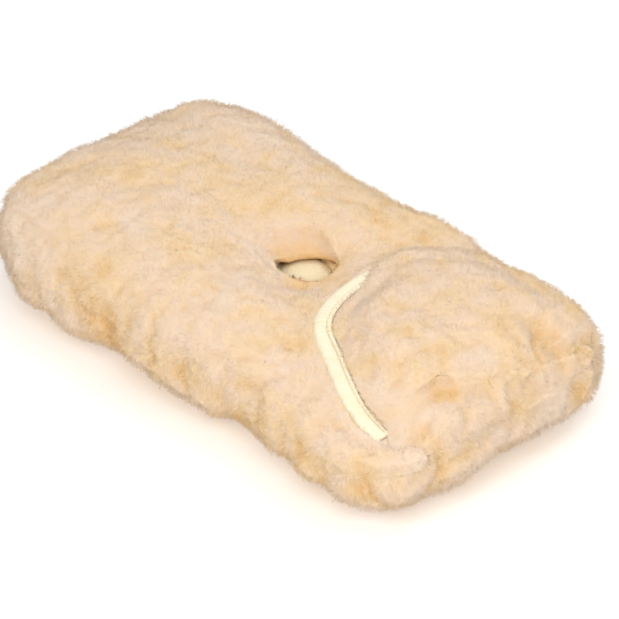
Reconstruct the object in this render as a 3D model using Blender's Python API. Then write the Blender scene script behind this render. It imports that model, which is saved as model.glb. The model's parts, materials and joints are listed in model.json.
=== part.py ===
"""A slip-on car wash mitt of long-pile fleece, with a thumb hole and an elasticated hood.

The mitt lies flat on its sole. X runs from the toe (-X) to the heel (+X), Y runs across, and Z is up.
The origin is the centre of the footprint, on the surface that the mitt lies on. Two fleece panels
make a bag: pile outside, knitted backing inside, with a flat pocket for the hand between them. The
top panel ends in a U-shaped mouth near the heel. The hood is hinged where its backing folds over the
heel, and covers the mouth.
"""
import math

import bmesh
import bpy

MM = 0.001

# Driving dimensions of the bag
LENGTH = 300 * MM
WIDTH = 168 * MM
BODY_HEIGHT = 67 * MM
HOOD_TOP = 74 * MM
GAP = 0.3 * MM                # clearance between pieces that touch in the real mitt

# Layers, from the table up
SOLE_PILE = 27 * MM           # height of the pile under the pocket
CLOTH = 1.5 * MM              # thickness of every backing cloth
POCKET = 12 * MM              # height of the empty pocket
SIDE_PILE = 18 * MM           # depth of the pile round the sides
PARTING = 34 * MM             # height of the seam between the two panels
SOLE_CLOTH = SOLE_PILE + GAP
POCKET_FLOOR = SOLE_CLOTH + CLOTH
POCKET_ROOF = POCKET_FLOOR + POCKET
TOP_PILE = POCKET_ROOF + CLOTH + GAP

# Corner radii of the footprint, at the widest height
TOE_NEAR_RADIUS = 52 * MM
TOE_FAR_RADIUS = 36 * MM
HEEL_RADIUS = 38 * MM
CORNER_STEPS = 7

# The pile's outer form: how far it is drawn in from the footprint, at each height
PILE_PROFILE = (
    (0.0, 15 * MM), (2 * MM, 9 * MM), (7 * MM, 4 * MM), (15 * MM, 1 * MM), (25 * MM, 0.0),
    (42 * MM, 0.0), (51 * MM, 2 * MM), (58 * MM, 6 * MM), (63 * MM, 12 * MM),
    (65.6 * MM, 20 * MM), (BODY_HEIGHT, 32 * MM),
)

# Thumb hole in the top panel
HOLE_X = -1 * MM
HOLE_Y = 5 * MM
HOLE_RADIUS = 18 * MM
HOLE_RIM = 4 * MM             # width of the overlocked edge
HOLE_WALL = 4 * MM            # height up to which the pile stands straight round the hole
HOLE_FLARE = 9 * MM           # how much wider the hole is at the top of the pile
HOLE_STEPS = 40

# Hood, seen from above: a superellipse that opens towards the heel
HOOD_FRONT = 37 * MM
HOOD_Y = 5 * MM
HOOD_HALF_WIDTH = 68 * MM
HOOD_POWER = 2.4
HOOD_SKEW = 0.12              # the far side of the lip lies nearer to the toe
HOOD_CLOTH = 55 * MM          # height of the hood's backing
HOOD_STEPS = 24
HINGE_X = 126 * MM
HINGE_Z = HOOD_CLOTH + CLOTH / 2
HOOD_PILE_SETBACK = 7.4 * MM

# The hood's pile: how far it is drawn in from the tape, at each height above the backing
HOOD_PROFILE = (
    (0.0, 0.0), (4 * MM, 0.2 * MM), (10 * MM, 2 * MM), (14 * MM, 6 * MM),
    (HOOD_TOP - HOOD_CLOTH - CLOTH - GAP, 18 * MM),
)

# The bed pressed into the top panel's pile by the hood
BED_FLOOR = 51.6 * MM
BED_MARGIN = 1.4 * MM
BED_END = 131 * MM
NOTCH_WALL = 14 * MM          # how far behind the bed the folded pile closes again
NOTCH_RISE = 17 * MM

# Mouth of the pocket, under the hood
MOUTH_FRONT = 72 * MM
MOUTH_HALF_WIDTH = 46 * MM
MOUTH_PILE_SETBACK = 8 * MM
MOUTH_RADIUS = 26 * MM
HEEL_PILE_X = LENGTH / 2 - SIDE_PILE
HEEL_WALL_HALF_WIDTH = 40 * MM

# Tapes
HOOD_TAPE_WIDTH = 7 * MM
HOOD_TAPE_HEIGHT = 4.8 * MM
MOUTH_TAPE_WIDTH = 5 * MM
MOUTH_TAPE_HEIGHT = 4 * MM
TAPE_WALL = 1.1 * MM
TAPE_BEVEL = 0.66 * MM
ELASTIC = 1.6 * MM            # width of the elastic in the hood's tape
THREAD_RADIUS = 0.35 * MM
THREAD_SIDES = 6
SEAM_WIDTH = 3 * MM
SEAM_HEIGHT = 2.4 * MM
TACK_LENGTH = 8 * MM          # between the centres of its round ends
TACK_RADIUS = 1.6 * MM
TACK_HEIGHT = 1.6 * MM
TACK_SETBACK = 2.6 * MM       # behind the hinge line
TACK_INSET = 6 * MM           # in from the hood's widest line

FAR_OUT = 200 * MM            # beyond every piece, for cutters


def clear_scene():
    for old in list(bpy.data.objects):
        bpy.data.objects.remove(old, do_unlink=True)


def make_material(name, colour, roughness):
    material = bpy.data.materials.new(name)
    material.use_nodes = True
    shader = material.node_tree.nodes["Principled BSDF"]
    shader.inputs["Base Color"].default_value = (*colour, 1.0)
    shader.inputs["Roughness"].default_value = roughness
    shader.inputs["Metallic"].default_value = 0.0
    return material


def link_mesh(name, mesh_data, material):
    mesh = bpy.data.meshes.new(name)
    mesh_data.to_mesh(mesh)
    mesh_data.free()
    piece = bpy.data.objects.new(name, mesh)
    bpy.context.scene.collection.objects.link(piece)
    if material is not None:
        mesh.materials.append(material)
    return piece


def loft(name, rings, material=None):
    """A closed solid through rings of points, capped at its first and last ring."""
    data = bmesh.new()
    loops = [[data.verts.new(point) for point in ring] for ring in rings]
    for lower, upper in zip(loops, loops[1:]):
        for i in range(len(lower)):
            j = (i + 1) % len(lower)
            data.faces.new((lower[i], lower[j], upper[j], upper[i]))
    data.faces.new(list(reversed(loops[0])))
    data.faces.new(loops[-1])
    bmesh.ops.recalc_face_normals(data, faces=data.faces)
    return link_mesh(name, data, material)


def turn(name, profile, centre, steps, material=None):
    """A closed ring: the profile, given as (radius, height), turned round a vertical axis."""
    data = bmesh.new()
    loops = []
    for k in range(steps):
        angle = 2 * math.pi * k / steps
        loops.append([
            data.verts.new((centre[0] + r * math.cos(angle), centre[1] + r * math.sin(angle), z))
            for r, z in profile
        ])
    for k in range(steps):
        here, there = loops[k], loops[(k + 1) % steps]
        for i in range(len(profile)):
            j = (i + 1) % len(profile)
            data.faces.new((here[i], here[j], there[j], there[i]))
    bmesh.ops.recalc_face_normals(data, faces=data.faces)
    return link_mesh(name, data, material)


def prism(name, outline, bottom, top, material=None):
    """An outline in plan, drawn up from one height to another."""
    return loft(name, [[(x, y, z) for x, y in outline] for z in (bottom, top)], material)


def boolean(piece, other, operation="DIFFERENCE"):
    """Cuts or joins with a hidden solid, and keeps the modifier on the piece."""
    other.hide_render = True
    other.display_type = "WIRE"
    modifier = piece.modifiers.new(operation.title(), "BOOLEAN")
    modifier.operation = operation
    modifier.solver = "EXACT"
    modifier.object = other


def arc(centre, radius, start, end, steps):
    return [
        (
            centre[0] + radius * math.cos(start + (end - start) * k / steps),
            centre[1] + radius * math.sin(start + (end - start) * k / steps),
        )
        for k in range(steps + 1)
    ]


def footprint(inset):
    """The bag's outline, seen from above, drawn in by inset all round."""
    half_x = LENGTH / 2 - inset
    half_y = WIDTH / 2 - inset
    corners = (
        (1, 1, HEEL_RADIUS, 0.0),
        (-1, 1, TOE_FAR_RADIUS, 0.5),
        (-1, -1, TOE_NEAR_RADIUS, 1.0),
        (1, -1, HEEL_RADIUS, 1.5),
    )
    points = []
    for side_x, side_y, full_radius, start in corners:
        radius = full_radius - inset
        centre = (side_x * (half_x - radius), side_y * (half_y - radius))
        points += arc(centre, radius, start * math.pi, (start + 0.5) * math.pi, CORNER_STEPS)
    return points


def bag_ring(inset, z):
    return [(x, y, z) for x, y in footprint(inset)]


def hood_edge(inset, heel_x):
    """The hood's free edge from its near end, round the lip, to its far end."""
    depth = HINGE_X - HOOD_FRONT
    points = []
    for k in range(HOOD_STEPS + 1):
        angle = math.pi * (k / HOOD_STEPS - 0.5)
        across = math.copysign(abs(math.sin(angle)) ** (2 / HOOD_POWER), angle)
        along = abs(math.cos(angle)) ** (2 / HOOD_POWER)
        y = (HOOD_HALF_WIDTH - inset) * across
        skew = HOOD_SKEW * y * along
        x = HINGE_X - (depth - inset) * along - skew
        points.append((x, HOOD_Y + y))
    points[0] = (heel_x, points[0][1])
    points[-1] = (heel_x, points[-1][1])
    return points


def hood_plan(inset, heel_x):
    """The hood's outline, closed by its straight heel end."""
    return list(reversed(hood_edge(inset, heel_x)))


def mouth_edge(inset, heel_x):
    """The U-shaped edge of the mouth from its near end to its far end."""
    half = MOUTH_HALF_WIDTH - inset
    front = MOUTH_FRONT + inset
    radius = MOUTH_RADIUS - inset
    near = arc((front + radius, HOOD_Y - half + radius), radius, 1.5 * math.pi, math.pi, CORNER_STEPS)
    far = arc((front + radius, HOOD_Y + half - radius), radius, math.pi, 0.5 * math.pi, CORNER_STEPS)
    return [(heel_x, HOOD_Y - half), *near, *far, (heel_x, HOOD_Y + half)]


def sweep(name, path, section, material):
    """A tape or thread: a section, given as (towards the left of the path, up), swept along it."""
    data = bmesh.new()
    loops = []
    for i, (x, y, z) in enumerate(path):
        before = path[max(i - 1, 0)]
        after = path[min(i + 1, len(path) - 1)]
        along = math.hypot(after[0] - before[0], after[1] - before[1])
        left = (-(after[1] - before[1]) / along, (after[0] - before[0]) / along)
        loops.append([data.verts.new((x + s * left[0], y + s * left[1], z + t)) for s, t in section])
    for here, there in zip(loops, loops[1:]):
        for i in range(len(section)):
            j = (i + 1) % len(section)
            data.faces.new((here[i], here[j], there[j], there[i]))
    data.faces.new(list(reversed(loops[0])))
    data.faces.new(loops[-1])
    bmesh.ops.recalc_face_normals(data, faces=data.faces)
    return link_mesh(name, data, material)


def round_section(radius, sides):
    return [
        (radius * math.cos(2 * math.pi * k / sides), radius * math.sin(2 * math.pi * k / sides))
        for k in range(sides)
    ]


def channel_section(width, height, wall, open_side):
    """A U-shaped tape section whose fold is at 0 and whose open side looks left (1) or right (-1)."""
    inner = height / 2 - wall
    outer = height / 2
    outline = [
        (0.0, outer - TAPE_BEVEL), (TAPE_BEVEL, outer), (width, outer), (width, inner), (wall, inner),
        (wall, -inner), (width, -inner), (width, -outer), (TAPE_BEVEL, -outer), (0.0, TAPE_BEVEL - outer),
    ]
    return [(open_side * s, t) for s, t in outline]


def pile_form(name, material):
    """The whole bag's pile, as one pillow with no pocket."""
    return loft(name, [bag_ring(inset, z) for z, inset in PILE_PROFILE], material)


def pocket_form(name, bottom, top, inset):
    """The room inside the pile, for the backing and the pocket."""
    return loft(name, [bag_ring(inset, bottom), bag_ring(inset, top)])


def heel_strip(name, half_width, front_x, bottom, top):
    outline = [
        (front_x, HOOD_Y - half_width), (FAR_OUT, HOOD_Y - half_width),
        (FAR_OUT, HOOD_Y + half_width), (front_x, HOOD_Y + half_width),
    ]
    return prism(name, outline, bottom, top)


def upper_slab(name):
    """Everything above the parting, apart from the strip of pile that rises up the heel."""
    half = MOUTH_HALF_WIDTH + MOUTH_PILE_SETBACK
    outline = [
        (FAR_OUT, HOOD_Y + half), (FAR_OUT, FAR_OUT), (-FAR_OUT, FAR_OUT), (-FAR_OUT, -FAR_OUT),
        (FAR_OUT, -FAR_OUT), (FAR_OUT, HOOD_Y - half),
        (HEEL_PILE_X + GAP, HOOD_Y - half), (HEEL_PILE_X + GAP, HOOD_Y + half),
    ]
    return prism(name, outline, PARTING - GAP / 2, FAR_OUT)


def hood_bed(name):
    """The hood's place in the pile, with the notch that closes as the hood is lifted."""
    bed = prism(name, hood_plan(-BED_MARGIN, BED_END), BED_FLOOR, FAR_OUT)
    half = HOOD_HALF_WIDTH + BED_MARGIN
    side = [
        (BED_END - MM, BED_FLOOR), (BED_END, BED_FLOOR),
        (BED_END + NOTCH_WALL, BED_FLOOR + NOTCH_RISE), (BED_END + NOTCH_WALL, FAR_OUT),
        (BED_END - MM, FAR_OUT),
    ]
    rings = [[(x, HOOD_Y + s * half, z) for x, z in side] for s in (-1, 1)]
    notch = loft(name + "_notch", rings)
    return bed, notch


def make_sole_fleece(material):
    piece = pile_form("sole_fleece", material)
    boolean(piece, upper_slab("cut_upper_half"))
    boolean(piece, pocket_form("cut_sole_room", SOLE_PILE, FAR_OUT, SIDE_PILE))
    for cutter in hood_bed("cut_sole_bed"):
        boolean(piece, cutter)


def make_top_fleece(material):
    piece = pile_form("top_fleece", material)
    lower = prism("cut_lower_half", footprint(-SIDE_PILE), -FAR_OUT, PARTING + GAP / 2)
    boolean(piece, lower)
    boolean(piece, pocket_form("cut_top_room", -FAR_OUT, TOP_PILE, SIDE_PILE))
    for cutter in hood_bed("cut_top_bed"):
        boolean(piece, cutter)
    mouth = prism("cut_top_mouth", list(reversed(mouth_edge(-MOUTH_PILE_SETBACK - GAP, FAR_OUT))),
                  -FAR_OUT, FAR_OUT)
    boolean(piece, mouth)
    radius = HOLE_RADIUS + HOLE_RIM + GAP
    flare = (
        (radius, TOP_PILE - MM), (radius, TOP_PILE + HOLE_WALL), (radius + HOLE_FLARE, BODY_HEIGHT + MM),
    )
    rings = [
        [(HOLE_X + x, HOLE_Y + y, z) for x, y in arc((0, 0), r, 0, 2 * math.pi, HOLE_STEPS)[:-1]]
        for r, z in flare
    ]
    boolean(piece, loft("cut_top_hole", rings))


def make_sole_backing(material):
    """A tray of cloth, with a wall that rises up the heel to the hood's fold."""
    outer = SIDE_PILE + GAP
    inner = outer + CLOTH
    wall_top = PARTING - GAP / 2
    rings = [
        bag_ring(outer, SOLE_CLOTH), bag_ring(outer, wall_top),
        bag_ring(inner, wall_top), bag_ring(inner, POCKET_FLOOR),
    ]
    piece = loft("sole_backing", rings, material)
    wall_back = LENGTH / 2 - outer
    half = HEEL_WALL_HALF_WIDTH
    outline = [
        (wall_back - CLOTH, HOOD_Y - half), (wall_back, HOOD_Y - half),
        (wall_back, HOOD_Y + half), (wall_back - CLOTH, HOOD_Y + half),
    ]
    wall = prism("join_heel_wall", outline, SOLE_CLOTH + CLOTH / 2, BED_FLOOR)
    boolean(piece, wall, "UNION")


def make_top_backing(material):
    outer = SIDE_PILE + GAP
    inner = outer + CLOTH
    wall_foot = PARTING + GAP / 2
    rings = [
        bag_ring(inner, POCKET_ROOF), bag_ring(inner, wall_foot),
        bag_ring(outer, wall_foot), bag_ring(outer, POCKET_ROOF + CLOTH),
    ]
    piece = loft("top_backing", rings, material)
    mouth = prism("cut_backing_mouth", list(reversed(mouth_edge(-TAPE_WALL - GAP, FAR_OUT))),
                  -FAR_OUT, FAR_OUT)
    boolean(piece, mouth)
    circle = arc((HOLE_X, HOLE_Y), HOLE_RADIUS + TAPE_WALL + GAP, 0, 2 * math.pi, HOLE_STEPS)[:-1]
    boolean(piece, prism("cut_backing_hole", circle, -FAR_OUT, FAR_OUT))


def make_thumb_hole_overlock(material):
    """The overlocked edge of the hole: a turned channel that grips the backing."""
    middle = POCKET_ROOF + CLOTH / 2
    half_slot = CLOTH / 2 + GAP
    half = half_slot + TAPE_WALL
    inner = HOLE_RADIUS
    outer = HOLE_RADIUS + HOLE_RIM
    profile = [
        (inner, middle - half_slot), (inner + TAPE_BEVEL, middle - half),
        (outer, middle - half), (outer, middle - half_slot),
        (inner + TAPE_WALL, middle - half_slot), (inner + TAPE_WALL, middle + half_slot),
        (outer, middle + half_slot), (outer, middle + half),
        (inner + TAPE_BEVEL, middle + half), (inner, middle + half_slot),
    ]
    turn("thumb_hole_overlock", profile, (HOLE_X, HOLE_Y), HOLE_STEPS, material)


def make_side_seam(material):
    """The overlocked seam allowance inside the bag, round both sides and the toe."""
    inset = SIDE_PILE + 2 * GAP + CLOTH + SEAM_WIDTH / 2
    outline = footprint(inset)
    corner = CORNER_STEPS + 1
    path = outline[corner:3 * corner]
    heel_end = MOUTH_FRONT + MOUTH_RADIUS
    path = [(heel_end, path[0][1]), *path, (heel_end, path[-1][1])]
    half_width, half_height = SEAM_WIDTH / 2, SEAM_HEIGHT / 2
    section = [
        (-half_width, -half_height), (half_width, -half_height),
        (half_width, half_height), (-half_width, half_height),
    ]
    sweep("side_seam", [(x, y, PARTING) for x, y in path], section, material)


def make_mouth_binding(tape, thread):
    path = mouth_edge(0.0, HINGE_X - 2 * MM)
    middle = POCKET_ROOF + CLOTH / 2
    section = channel_section(MOUTH_TAPE_WIDTH, MOUTH_TAPE_HEIGHT, TAPE_WALL, 1)
    sweep("mouth_binding", [(x, y, middle) for x, y in path], section, tape)
    height = middle + MOUTH_TAPE_HEIGHT / 2 + GAP + THREAD_RADIUS
    line = mouth_edge(-0.7 * MOUTH_TAPE_WIDTH, HINGE_X - 4 * MM)
    path = [(x, y, height) for x, y in line]
    sweep("mouth_binding_stitches", path, round_section(THREAD_RADIUS, THREAD_SIDES), thread)


def make_hood_fleece(material):
    heel = HINGE_X - GAP
    bottom = HOOD_CLOTH + CLOTH + GAP
    rings = [
        [(x, y, bottom + rise) for x, y in hood_plan(HOOD_PILE_SETBACK + inset, heel)]
        for rise, inset in HOOD_PROFILE
    ]
    return loft("hood_fleece", rings, material)


def make_hood_backing(material):
    heel = HINGE_X - GAP
    outline = hood_plan(TAPE_WALL + ELASTIC + 2 * GAP, heel)
    return prism("hood_backing", outline, HOOD_CLOTH, HOOD_CLOTH + CLOTH, material)


def make_hood_binding(tape, elastic, thread):
    middle = HOOD_CLOTH + CLOTH / 2
    heel = HINGE_X - GAP
    section = channel_section(HOOD_TAPE_WIDTH, HOOD_TAPE_HEIGHT, TAPE_WALL, -1)
    path = [(x, y, middle) for x, y in hood_edge(0.0, heel)]
    binding = sweep("hood_binding", path, section, tape)
    half = HOOD_TAPE_HEIGHT / 2 - TAPE_WALL - GAP
    inner = TAPE_WALL + GAP
    outer = inner + ELASTIC
    section = [(-inner, -half), (-outer, -half), (-outer, half), (-inner, half)]
    band = sweep("hood_elastic", path, section, elastic)
    height = middle + HOOD_TAPE_HEIGHT / 2 + GAP + THREAD_RADIUS
    line = hood_edge(0.78 * HOOD_TAPE_WIDTH, heel)
    path = [(x, y, height) for x, y in line]
    stitches = sweep("hood_binding_stitches", path, round_section(THREAD_RADIUS, THREAD_SIDES), thread)
    return [binding, band, stitches]


def make_tacks(material):
    """Bar tacks that sew the two ends of the hood's taped edge down at the fold."""
    for name, side in (("hood_tack_near", -1), ("hood_tack_far", 1)):
        x = HINGE_X + TACK_SETBACK
        y = HOOD_Y + side * (HOOD_HALF_WIDTH - TACK_INSET)
        half = TACK_LENGTH / 2
        outline = arc((x, y + half), TACK_RADIUS, 0, math.pi, CORNER_STEPS)
        outline += arc((x, y - half), TACK_RADIUS, math.pi, 2 * math.pi, CORNER_STEPS)
        prism(name, outline, BED_FLOOR + GAP, BED_FLOOR + GAP + TACK_HEIGHT, material)


def hang_on_hinge(pieces):
    """Puts the hood's pieces under an empty on the fold line that it turns about."""
    hinge = bpy.data.objects.new("hood_hinge", None)
    hinge.location = (HINGE_X, HOOD_Y, HINGE_Z)
    bpy.context.scene.collection.objects.link(hinge)
    for piece in pieces:
        piece.parent = hinge
        piece.matrix_parent_inverse = hinge.matrix_basis.inverted()


def main():
    clear_scene()
    fleece = make_material("cream_fleece", (0.86, 0.70, 0.50), 0.95)
    backing = make_material("knitted_backing", (0.88, 0.79, 0.62), 0.9)
    tape = make_material("cream_tape", (0.93, 0.87, 0.68), 0.7)
    elastic = make_material("white_elastic", (0.85, 0.84, 0.80), 0.6)
    thread = make_material("cream_thread", (0.90, 0.82, 0.60), 0.6)

    make_sole_fleece(fleece)
    make_top_fleece(fleece)
    make_sole_backing(backing)
    make_top_backing(backing)
    make_thumb_hole_overlock(thread)
    make_side_seam(thread)
    make_mouth_binding(tape, thread)
    hood = [make_hood_fleece(fleece), make_hood_backing(backing)]
    hood += make_hood_binding(tape, elastic, thread)
    make_tacks(thread)
    hang_on_hinge(hood)


main()
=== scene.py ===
"""The looks of the fleece wash mitt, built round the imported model.

The mitt lies on its sole with its toe at -X, its heel at +X and its long near side at -Y. The pile is
built in steps: each CAD fleece solid is remeshed, relaxed and settled into its lie, swollen into tufts,
and planted with fine fibres. Tapes, overlocking and stitches are swept along the CAD's own lines.
"""
import itertools
import json
import math

import bmesh
import bpy
import numpy as np
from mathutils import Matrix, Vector
from mathutils.kdtree import KDTree


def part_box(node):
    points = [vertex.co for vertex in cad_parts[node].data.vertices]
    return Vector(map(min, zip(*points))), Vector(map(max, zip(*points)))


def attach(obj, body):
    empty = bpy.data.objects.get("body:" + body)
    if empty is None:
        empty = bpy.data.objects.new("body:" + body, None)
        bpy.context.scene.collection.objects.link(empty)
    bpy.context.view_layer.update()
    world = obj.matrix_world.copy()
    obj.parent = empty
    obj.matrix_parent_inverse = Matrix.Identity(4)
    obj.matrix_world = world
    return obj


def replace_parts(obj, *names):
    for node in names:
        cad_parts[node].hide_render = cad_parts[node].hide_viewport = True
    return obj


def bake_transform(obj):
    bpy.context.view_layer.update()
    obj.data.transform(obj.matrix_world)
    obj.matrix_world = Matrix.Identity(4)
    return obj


MM = 0.001
PANEL_FIBRES, HOOD_FIBRES = 19500, 16000  # in each piece of fibres

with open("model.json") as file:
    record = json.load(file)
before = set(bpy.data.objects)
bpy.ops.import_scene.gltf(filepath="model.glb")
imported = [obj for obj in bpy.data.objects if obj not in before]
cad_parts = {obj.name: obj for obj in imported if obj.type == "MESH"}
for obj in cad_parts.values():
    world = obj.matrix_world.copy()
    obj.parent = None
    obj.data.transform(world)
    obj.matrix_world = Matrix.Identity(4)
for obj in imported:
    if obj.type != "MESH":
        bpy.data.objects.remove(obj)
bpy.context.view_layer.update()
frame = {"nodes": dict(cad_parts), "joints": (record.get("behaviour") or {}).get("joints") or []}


def box(node):
    """The low and the high corner of a CAD node."""
    return [Vector(corner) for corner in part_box(node)]


# Places taken from the frame
HINGE = Vector(frame["joints"][0]["pos_m"])
HALF_LENGTH, HALF_WIDTH, _ = box("sole_fleece")[1]
TOP_HIGH = box("top_fleece")[1]
LIP_LOW, LIP_HIGH = box("hood_binding")
RING_LOW, RING_HIGH = box("thumb_hole_overlock")
MOUTH_LOW, MOUTH_HIGH = box("mouth_binding")
HOLE = (RING_LOW + RING_HIGH) / 2
HOLE_RADIUS = (RING_HIGH.x - RING_LOW.x) / 2
TOE_NEAR_RADIUS, TOE_FAR_RADIUS, HEEL_RADIUS = 52 * MM, 36 * MM, 38 * MM
FRONT = Vector((0.73, -0.68, 0))  # level, from the mitt towards its near heel corner
MOUTH_HALF_WIDTH, MOUTH_RADIUS = 46 * MM, 26 * MM
HOOD_FRONT = 37 * MM  # where the lip crosses the mitt's middle
HOOD_TAPE_WIDTH, MOUTH_TAPE_WIDTH, RING_WIDTH = 7.8 * MM, 5 * MM, 4 * MM
TAPE_WALL = 1.0 * MM
SEAM_HEIGHT = 34 * MM  # where the piles of the two panels part
STITCH_PITCH = 2.8 * MM
THREAD_RADIUS = 0.34 * MM
LINE_STEP = 0.5 * MM  # between the points of a taped edge
TAPE_TURN = 13  # points round the fold of a tape's section
TAPE_OVERHANG = 0.8 * MM  # how far the hood's tape stands proud of its edge
FIBRE_LIGHT = np.array([0.15, -0.15, 0.45])  # bends the fibres' normals up, as in a soft mass


# Numbers, noise and shapes

def unit(vectors):
    return vectors / np.maximum(np.linalg.norm(vectors, axis=1, keepdims=True), 1e-9)


def hashed(cells, seed):
    """A repeatable whole number for each cell of a grid."""
    value = np.full(len(cells), seed * 0x9E3779B1 & 0xFFFFFFFF, np.uint64)
    for axis, prime in enumerate((0x85EBCA6B, 0xC2B2AE35, 0x27D4EB2F)):
        value ^= (cells[:, axis].astype(np.int64) & 0xFFFFFFFF).astype(np.uint64) * np.uint64(prime)
        value &= np.uint64(0xFFFFFFFF)
        value ^= value >> np.uint64(15)
        value = value * np.uint64(0x2C1B3C6D) & np.uint64(0xFFFFFFFF)
        value ^= value >> np.uint64(12)
    return value


def three_bytes(code):
    """Three whole numbers from 0 to 255 out of each hashed cell."""
    return np.stack([(code >> np.uint64(shift)).astype(np.int64) % 256 for shift in (0, 8, 16)], 1)


def noise(points, size, seed):
    """Smooth noise, mostly from -1 to 1, with features about size metres across."""
    scaled = points / size
    cell = np.floor(scaled).astype(np.int64)
    part = scaled - cell
    fade = part ** 3 * (part * (part * 6 - 15) + 10)
    total = np.zeros(len(points))
    for corner in itertools.product((0, 1), repeat=3):
        code = hashed(cell + corner, seed)
        gradient = three_bytes(code) / 127.5 - 1
        share = np.where(corner, fade, 1 - fade).prod(1)
        total += share * (gradient * (part - corner)).sum(1)
    return total * 1.5


def noise_vector(points, size, seed):
    return np.stack([noise(points, size, seed + k) for k in range(3)], 1)


def ease(value, low, high):
    """0 up to low and 1 from high on, smooth between."""
    t = np.clip((value - low) / (high - low), 0, 1)
    return t * t * (3 - 2 * t)


def inset(points):
    """How far each point lies inside the mitt's footprint."""
    x, y = points[:, 0], points[:, 1]
    radius = np.where(x > 0, HEEL_RADIUS, np.where(y > 0, TOE_FAR_RADIUS, TOE_NEAR_RADIUS))
    qx = np.abs(x) - HALF_LENGTH + radius
    qy = np.abs(y) - HALF_WIDTH + radius
    outside = np.hypot(np.maximum(qx, 0), np.maximum(qy, 0))
    return radius - outside - np.minimum(np.maximum(qx, qy), 0)


def coordinates(mesh):
    points = np.empty(len(mesh.vertices) * 3)
    mesh.vertices.foreach_get("co", points)
    return points.reshape(-1, 3)


def move(mesh, points):
    mesh.vertices.foreach_set("co", points.astype(np.float32).ravel())
    mesh.update()


def vertex_normals(mesh):
    normals = np.empty(len(mesh.vertices) * 3, np.float32)
    mesh.vertex_normals.foreach_get("vector", normals)
    return normals.reshape(-1, 3).astype(float)


def new_object(name, mesh):
    obj = bpy.data.objects.new(name, mesh)
    bpy.context.scene.collection.objects.link(obj)
    return obj


def evaluated(obj):
    """Applies the object's modifiers."""
    graph = bpy.context.evaluated_depsgraph_get()
    mesh = bpy.data.meshes.new_from_object(obj.evaluated_get(graph), depsgraph=graph)
    obj.modifiers.clear()
    obj.data = mesh
    return mesh


def fused(obj, voxel, rounds):
    """Remeshes a solid evenly, fusing whatever overlaps in it, and relaxes it."""
    remesh = obj.modifiers.new("Remesh", "REMESH")
    remesh.mode = "VOXEL"
    remesh.voxel_size = voxel
    smooth = obj.modifiers.new("Smooth", "SMOOTH")
    smooth.factor = 0.5
    smooth.iterations = rounds
    evaluated(obj)
    return obj


def softened(node, name, voxel, rounds):
    """A copy of a CAD node's solid, remeshed evenly and relaxed."""
    return fused(new_object(name, frame["nodes"][node].data.copy()), voxel, rounds)


def finish_mesh(obj, material):
    obj.data.materials.clear()
    obj.data.materials.append(material)
    obj.data.shade_smooth()
    return obj


# Materials

def new_material(name):
    material = bpy.data.materials.new(name)
    material.use_nodes = True
    nodes = material.node_tree.nodes
    return material, nodes, material.node_tree.links, nodes["Principled BSDF"]


def set_inputs(node, **values):
    """Sets sockets by name: an underscore stands for a space."""
    for name, value in values.items():
        node.inputs[name.replace("_", " ")].default_value = value


def noise_node(nodes, links, size, detail=3.0, stretch=(1, 1, 1)):
    """Fractal noise whose features are about size metres across."""
    place = nodes.new("ShaderNodeTexCoord")
    scale = nodes.new("ShaderNodeMapping")
    set_inputs(scale, Scale=stretch)
    texture = nodes.new("ShaderNodeTexNoise")
    set_inputs(texture, Scale=1 / size, Detail=detail, Roughness=0.55)
    links.new(place.outputs["Object"], scale.inputs["Vector"])
    links.new(scale.outputs["Vector"], texture.inputs["Vector"])
    return texture.outputs["Fac"]


def ramp_node(nodes, links, value, stops):
    ramp = nodes.new("ShaderNodeValToRGB")
    elements = ramp.color_ramp.elements
    while len(elements) < len(stops):
        elements.new(0.5)
    for element, (position, colour) in zip(elements, stops):
        element.position = position
        element.color = (*colour, 1.0)
    links.new(value, ramp.inputs["Fac"])
    return ramp.outputs["Color"]


def mix_node(nodes, links, factor, first, second, kind="MIX"):
    mix = nodes.new("ShaderNodeMix")
    mix.data_type = "RGBA"
    mix.blend_type = kind
    for socket, value in ((mix.inputs[0], factor), (mix.inputs[6], first), (mix.inputs[7], second)):
        if isinstance(value, (int, float)):
            socket.default_value = value
        elif isinstance(value, tuple):
            socket.default_value = (*value, 1.0)
        else:
            links.new(value, socket)
    return mix.outputs[2]


def bump_node(nodes, links, height, strength, distance):
    bump = nodes.new("ShaderNodeBump")
    set_inputs(bump, Strength=strength, Distance=distance)
    links.new(height, bump.inputs["Height"])
    return bump.outputs["Normal"]


def range_node(nodes, links, value, low, high):
    spread = nodes.new("ShaderNodeMapRange")
    set_inputs(spread, To_Min=low, To_Max=high)
    links.new(value, spread.inputs["Value"])
    return spread.outputs["Result"]


def attribute_node(nodes, name):
    attribute = nodes.new("ShaderNodeAttribute")
    attribute.attribute_name = name
    return attribute.outputs["Fac"]


# OCHRE is the deepest tone of the wool's own mottling, and also the painted shade in its valleys and
# folds
OCHRE = (0.80, 0.50, 0.22)
STRAW = (0.86, 0.62, 0.36)
CREAM = (0.87, 0.65, 0.44)
ROSE = (0.86, 0.66, 0.50)
PALE = (0.90, 0.73, 0.57)


def wool_colour(nodes, links):
    """The mottling of undyed wool, from straw to rose, carried by each point's tint."""
    return ramp_node(nodes, links, attribute_node(nodes, "tint"),
                     ((0.05, OCHRE), (0.3, STRAW), (0.5, CREAM), (0.72, ROSE), (0.95, PALE)))


def soften_wool(shader):
    """Light soaks into wool, and leaves it as a matt glow."""
    set_inputs(shader, Specular_IOR_Level=0.1, Sheen_Weight=0.08, Sheen_Roughness=0.7,
               Subsurface_Radius=(1.0, 0.75, 0.5))


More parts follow.
